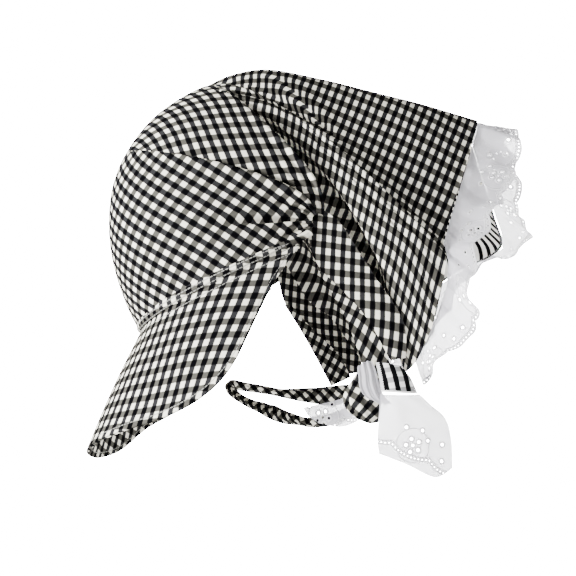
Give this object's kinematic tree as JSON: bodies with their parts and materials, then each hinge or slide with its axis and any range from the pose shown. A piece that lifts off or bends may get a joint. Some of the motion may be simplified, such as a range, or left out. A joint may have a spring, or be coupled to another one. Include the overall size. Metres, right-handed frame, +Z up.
{
  "type": "headscarf hat",
  "caption": "Gingham hat with a gathered crown, an arched peak, a draped scarf at the back edged with eyelet lace, and a tie under the chin.",
  "frame": {"origin": "centre of the head opening, in the plane of its rim", "axes": "+Z up as worn, -Y to the front where the peak points, +X to the wearer's left"},
  "size_m": [0.2195, 0.4043, 0.337],
  "materials": {
    "gingham": "matt woven cotton, black, grey and off-white checks",
    "gingham_dark": "matt woven cotton, twisted, darker checks",
    "stripe": "matt woven cotton, black and off-white stripes",
    "lace": "matt white cotton eyelet lace"
  },
  "bodies": {
    "root": {"crown": "gingham", "peak": "gingham", "peak_band": "gingham", "scarf": "gingham", "side_panel_left": "gingham", "side_panel_right": "gingham", "edge_facing_left": "gingham", "edge_facing_right": "gingham", "hem_lace": "lace", "chin_tie": "gingham_dark", "tie_bundle": "gingham", "tie_knot": "lace", "tie_tab": "stripe", "tie_lace": "lace", "under_lace": "lace"}
  },
  "joints": []
}
